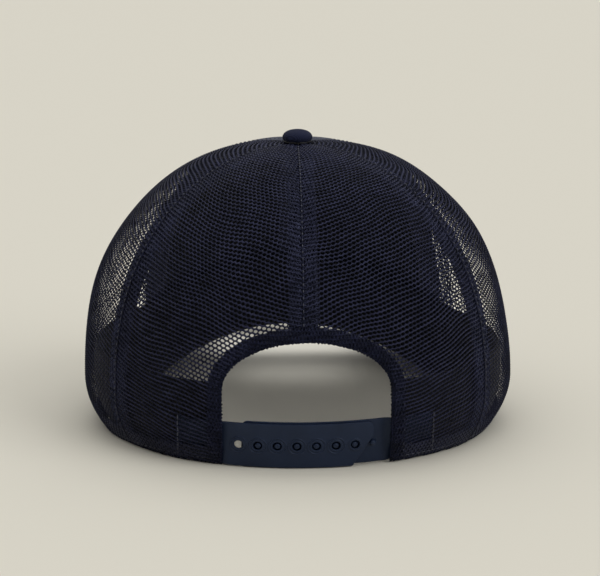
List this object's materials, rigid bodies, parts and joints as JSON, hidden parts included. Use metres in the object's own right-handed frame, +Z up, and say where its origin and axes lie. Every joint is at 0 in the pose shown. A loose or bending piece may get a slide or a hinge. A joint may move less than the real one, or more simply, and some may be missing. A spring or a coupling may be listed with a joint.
{
  "type": "trucker mesh cap",
  "caption": "Trucker cap with twill front, open mesh sides and back, curved visor, covered top button and a snap strap closure over an arched rear opening.",
  "frame": {"origin": "middle of the head opening, on the plane that the rim of the sides and back rests on", "axes": "+Z up towards the button, +Y towards the visor, +X to the right hand side seen from the back"},
  "size_m": [0.184, 0.2521, 0.1274],
  "materials": {
    "mesh": "open warp-knit polyester mesh, very dark navy, slight yarn sheen",
    "twill": "dark navy cotton twill, matte",
    "buckram": "stiff open backing cloth, matte, dark",
    "seam_tape": "woven seam tape, dark navy",
    "sweatband": "soft woven band, near black",
    "visor_board": "moulded flat board, matte",
    "button_metal": "pressed metal, dull",
    "strap_plastic": "moulded dark navy plastic, satin"
  },
  "bodies": {
    "crown": {"front_panel_left": "twill", "front_panel_right": "twill", "front_buckram_left": "buckram", "front_buckram_right": "buckram", "side_mesh_left": "mesh", "side_mesh_right": "mesh", "back_mesh_left": "mesh", "back_mesh_right": "mesh", "seam_tape_front_centre": "seam_tape", "seam_tape_front_left": "seam_tape", "seam_tape_front_right": "seam_tape", "seam_tape_side_left": "seam_tape", "seam_tape_side_right": "seam_tape", "seam_tape_back_centre": "seam_tape", "opening_binding": "mesh", "sweatband": "sweatband", "visor_board": "visor_board", "visor_top_cover": "twill", "visor_bottom_cover": "twill", "button_cover": "twill", "button_shell": "button_metal", "button_rivet": "button_metal", "strap_holes_tab": "strap_plastic", "strap_pegs_tab": "strap_plastic"},
    "hole_strap": {"strap_holes": "strap_plastic"},
    "peg_strap": {"strap_pegs": "strap_plastic"}
  },
  "joints": [
    {"name": "hole_strap_flex", "type": "hinge", "parent": "crown", "child": "hole_strap", "pos_m": [-0.03261, -0.0773, 0.0101], "axis": [0, 0.2079, -0.9781], "range_deg": [0, 50], "stiffness_Nm_per_rad": 0.02},
    {"name": "peg_strap_flex", "type": "hinge", "parent": "crown", "child": "peg_strap", "pos_m": [0.03447, -0.07472, 0.0101], "axis": [0, 0.2079, -0.9781], "range_deg": [0, 20], "stiffness_Nm_per_rad": 0.02}
  ]
}
